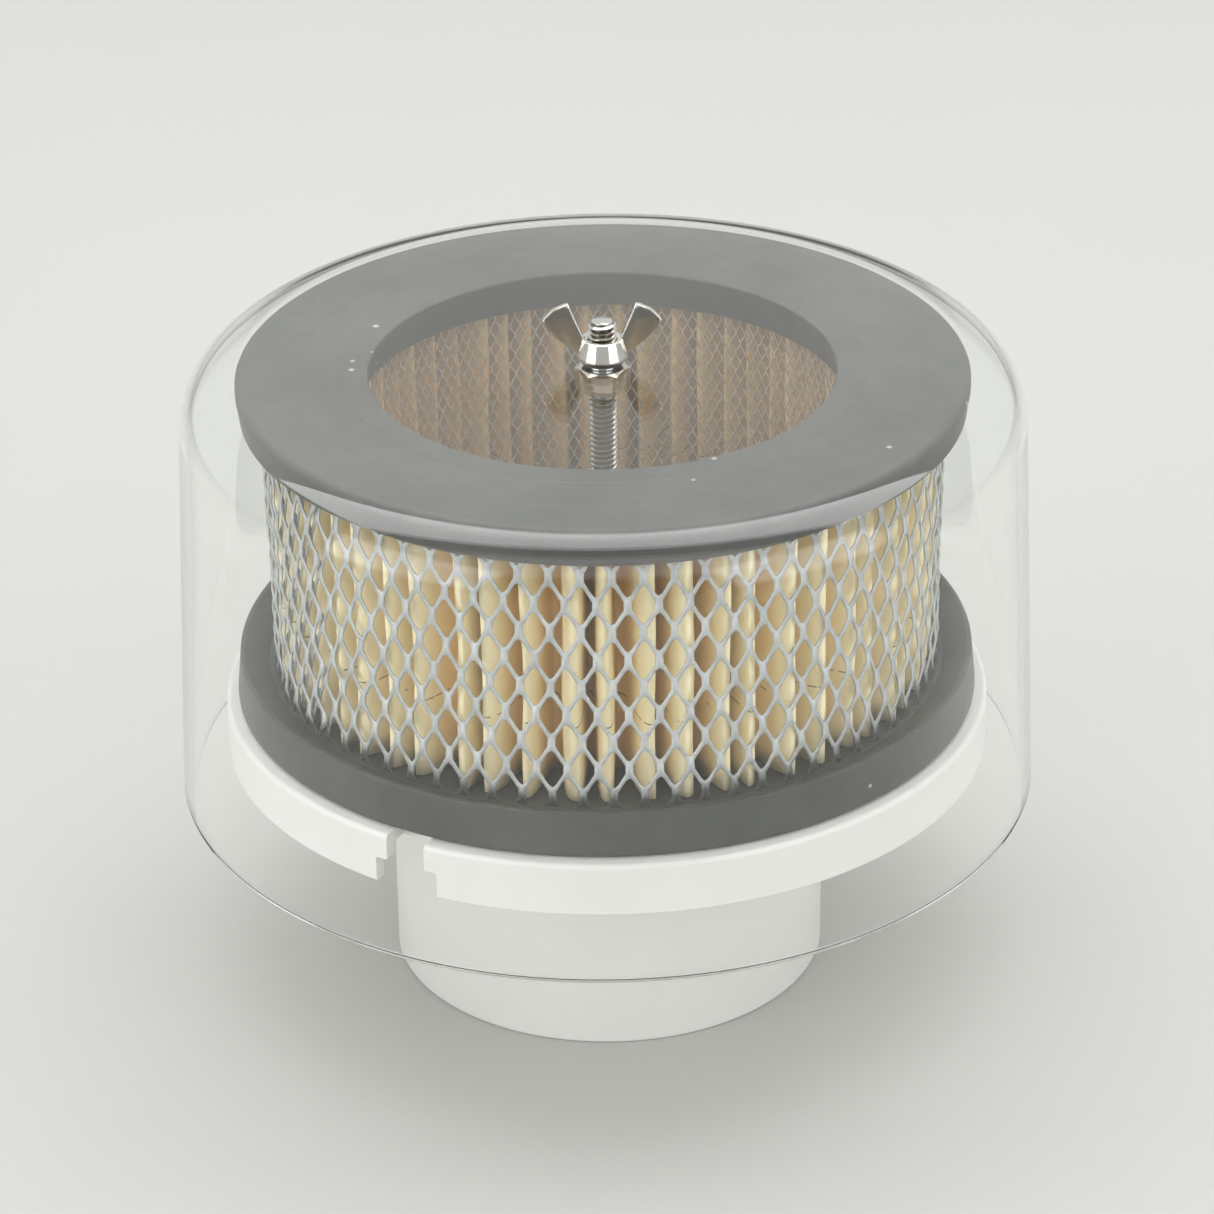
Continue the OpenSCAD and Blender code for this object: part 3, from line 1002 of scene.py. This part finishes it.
# thin rubber washer under the wing nut
seal = {
    "inner": 3.3,
    "outer": 4.85,
    "lowZ": 150.43,
    "highZ": 151.18,
    "edge": 0.2,
    "finish": {"metal": 0.0, "driftScale": 200.0,
               "colorA": (0.09, 0.085, 0.075), "colorB": (0.06, 0.056, 0.05),
               "rough": (0.55, 0.7), "grainScale": 2500.0, "grainDepth": 0.00002},
}
sealWasher = makeWasher("sealWasher", seal["inner"], seal["outer"], seal["lowZ"], seal["highZ"], seal["edge"])
sealRubber = plainFinish("sealRubber", seal["finish"])
place(sealWasher, "seal_washer", sealRubber, "nut_seal_washer")


# pale floor, soft lamps and a world that is dim in front and bright behind
studio = {
    "floorHalf": 6.0,  # metres, as are the lamps' places and sizes
    "floorTone": (0.53, 0.535, 0.512),
    "floorShade": 0.985,
    "floorScale": 2.5,
    "floorRough": 0.7,
    "worldFront": (0.50, 0.505, 0.49),
    "worldBack": (0.74, 0.745, 0.725),
    "worldHigh": (0.55, 0.555, 0.54),
    "frontToBack": (-0.7, 0.5),
    "sideToHigh": (0.5, 0.95),
    "lamps": [
        # name, place, aim, width and depth, watts
        ("overhead", (0.03, 0.45, 1.4), (0.03, 0.35, 0.09), (2.2, 0.95), 18.0),
        ("front", (0.0, -1.0, 1.4), (0.0, -0.2, 0.0), (2.6, 1.1), 8.5),
        ("leftFront", (-1.25, -0.95, 0.65), (0, 0, 0.03), (1.3, 1.1), 8.5),
        ("rightFront", (1.25, -0.95, 0.65), (0, 0, 0.03), (1.3, 1.1), 8.0),
    ],
}


def makeFloor(look):
    h = look["floorHalf"] / mm
    corners = np.array([[-h, -h, 0], [h, -h, 0], [h, h, 0], [-h, h, 0]], float)
    floor = addMesh("floor", corners, [np.array([[0, 1, 2, 3]])], facesOut=False)
    material, tree, shader, where = newMaterial(
        "paleFloor", Roughness=look["floorRough"], Specular_IOR_Level=0.2)
    shaded = [v * look["floorShade"] for v in look["floorTone"]]
    tone = placeGroup(tree, driftGroup, where, Scale=look["floorScale"],
                      Color_A=(*look["floorTone"], 1), Color_B=(*shaded, 1))
    tree.links.new(tone.outputs["Color"], shader.inputs["Base Color"])
    floor.data.materials.append(material)
    floor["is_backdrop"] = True


def makeWorld(look):
    world = bpy.data.worlds.new("studio")
    bpy.context.scene.world = world
    world.use_nodes = True
    tree = world.node_tree
    way = tree.nodes.new("ShaderNodeTexCoord")
    split = tree.nodes.new("ShaderNodeSeparateXYZ")
    # dim towards -Y, bright towards +Y, and even overhead
    (front, back), (side, over) = look["frontToBack"], look["sideToHigh"]
    deep = node(tree, "ShaderNodeMapRange", From_Min_=front, From_Max_=back)
    high = node(tree, "ShaderNodeMapRange", From_Min_=side, From_Max_=over)
    tree.links.new(way.outputs["Generated"], split.inputs[0])
    tree.links.new(split.outputs["Y"], deep.inputs["Value"])
    tree.links.new(split.outputs["Z"], high.inputs["Value"])
    low = mixColor(tree, deep.outputs["Result"], (*look["worldFront"], 1), (*look["worldBack"], 1))
    color = mixColor(tree, high.outputs["Result"], low, (*look["worldHigh"], 1))
    tree.links.new(color, tree.nodes["Background"].inputs["Color"])


def makeLamps(look):
    for name, where, aim, (width, depth), power in look["lamps"]:
        data = bpy.data.lights.new(name, "AREA")
        data.shape, data.size, data.size_y, data.energy = "RECTANGLE", width, depth, power
        lamp = bpy.data.objects.new(name, data)
        lamp.location = where
        lamp.rotation_euler = (Vector(aim) - Vector(where)).to_track_quat("-Z", "Y").to_euler()
        bpy.context.scene.collection.objects.link(lamp)


makeFloor(studio)
makeWorld(studio)
makeLamps(studio)
print("studio ready")

low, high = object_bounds()
